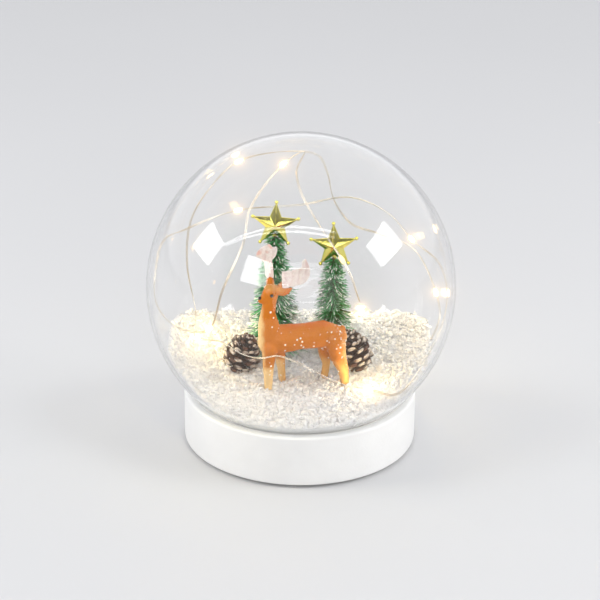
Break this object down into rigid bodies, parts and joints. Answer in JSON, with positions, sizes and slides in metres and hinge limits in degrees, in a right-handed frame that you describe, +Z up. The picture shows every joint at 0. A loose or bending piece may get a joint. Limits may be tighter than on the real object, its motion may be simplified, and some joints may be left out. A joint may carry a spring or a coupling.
{
  "type": "light-up snow globe",
  "caption": "Clear glass globe with a lit winter scene of a deer, trees and pine cones, on a round white base that holds its cells and switch.",
  "frame": {"origin": "centre of the foot pad's underside, on the surface that the globe stands on", "axes": "+Z up through the globe's centre, -Y towards the viewer of the scene, +X to that viewer's right"},
  "size_m": [0.15, 0.15, 0.1547],
  "materials": {
    "pad_foam": "matt foam sheet",
    "white_paint": "white satin paint on turned board",
    "clear_glass": "clear blown glass",
    "clear_silicone": "translucent silicone",
    "white_plastic": "fine-grained moulding",
    "bright_steel": "nickel plated",
    "cell_wrap": "printed film over a steel can",
    "black_plastic": "satin moulding",
    "lead_sleeve": "soft PVC",
    "snow_flock": "loose sparkling flock",
    "deer_paint": "glossy orange and honey paint with snow specks",
    "antler_flock": "pink-white flock",
    "stem_wire": "dark twisted wire",
    "green_bristle": "fine bristles with white tips",
    "gold_plating": "bright plated plastic",
    "cone_wood": "dry scales with white-dusted edges",
    "fairy_copper": "lacquered fine wire",
    "lit_resin": "clear resin drop over a lit warm-white chip"
  },
  "bodies": {
    "globe": {"antler_left": "antler_flock", "antler_right": "antler_flock", "base_body": "white_paint", "battery_box": "white_plastic", "box_screw_1": "bright_steel", "box_screw_2": "bright_steel", "box_screw_3": "bright_steel", "box_screw_4": "bright_steel", "cell_1": "cell_wrap", "cell_2": "cell_wrap", "cell_3": "cell_wrap", "contact_spring_1": "bright_steel", "contact_spring_2": "bright_steel", "contact_spring_3": "bright_steel", "deer_body": "deer_paint", "end_contact_minus": "bright_steel", "end_contact_plus": "bright_steel", "fairy_wire": "fairy_copper", "foot_pad": "pad_foam", "glass_globe": "clear_glass", "lead_wires": "lead_sleeve", "led_bead_01": "lit_resin", "led_bead_02": "lit_resin", "led_bead_03": "lit_resin", "led_bead_04": "lit_resin", "led_bead_05": "lit_resin", "led_bead_06": "lit_resin", "led_bead_07": "lit_resin", "led_bead_08": "lit_resin", "led_bead_09": "lit_resin", "led_bead_10": "lit_resin", "pinecone_left": "cone_wood", "pinecone_right": "cone_wood", "scene_floor": "white_paint", "series_link_a": "bright_steel", "series_link_b": "bright_steel", "silicone_seal": "clear_silicone", "snow_bed": "snow_flock", "star_left": "gold_plating", "star_right": "gold_plating", "switch_body": "bright_steel", "tree_bristles_left": "green_bristle", "tree_bristles_right": "green_bristle", "tree_stem_left": "stem_wire", "tree_stem_right": "stem_wire"},
    "door": {"battery_door": "white_plastic"},
    "slider": {"switch_slider": "black_plastic"}
  },
  "joints": [
    {"name": "door_hinge", "type": "hinge", "parent": "globe", "child": "door", "pos_m": [-0.0241, -0.0036, 0.00275], "axis": [0, 1, 0], "range_deg": [0, 100]},
    {"name": "switch_slide", "type": "slide", "parent": "globe", "child": "slider", "axis": [-1, 0, 0], "range_m": [0, 0.002]}
  ]
}
